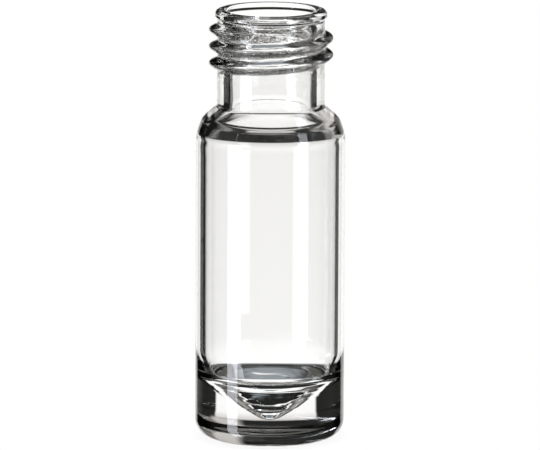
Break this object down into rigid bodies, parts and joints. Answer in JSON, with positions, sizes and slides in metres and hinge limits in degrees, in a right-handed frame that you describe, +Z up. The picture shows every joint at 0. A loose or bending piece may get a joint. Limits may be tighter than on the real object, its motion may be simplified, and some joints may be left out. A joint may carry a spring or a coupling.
{
  "type": "glass sample vial",
  "caption": "Clear glass screw-neck sample vial with a straight round body, a sloping shoulder, a heavy flat base and a conical inside bottom.",
  "frame": {"origin": "centre of the base, in the plane that the vial stands on", "axes": "+Z up along the vial's axis and out of its mouth, the thread's upper end at the front (-Y) a little to the left"},
  "size_m": [0.0114, 0.0114, 0.033],
  "materials": {
    "clear_glass": "clear, fire-polished"
  },
  "bodies": {
    "root": {"vial": "clear_glass"}
  },
  "joints": []
}
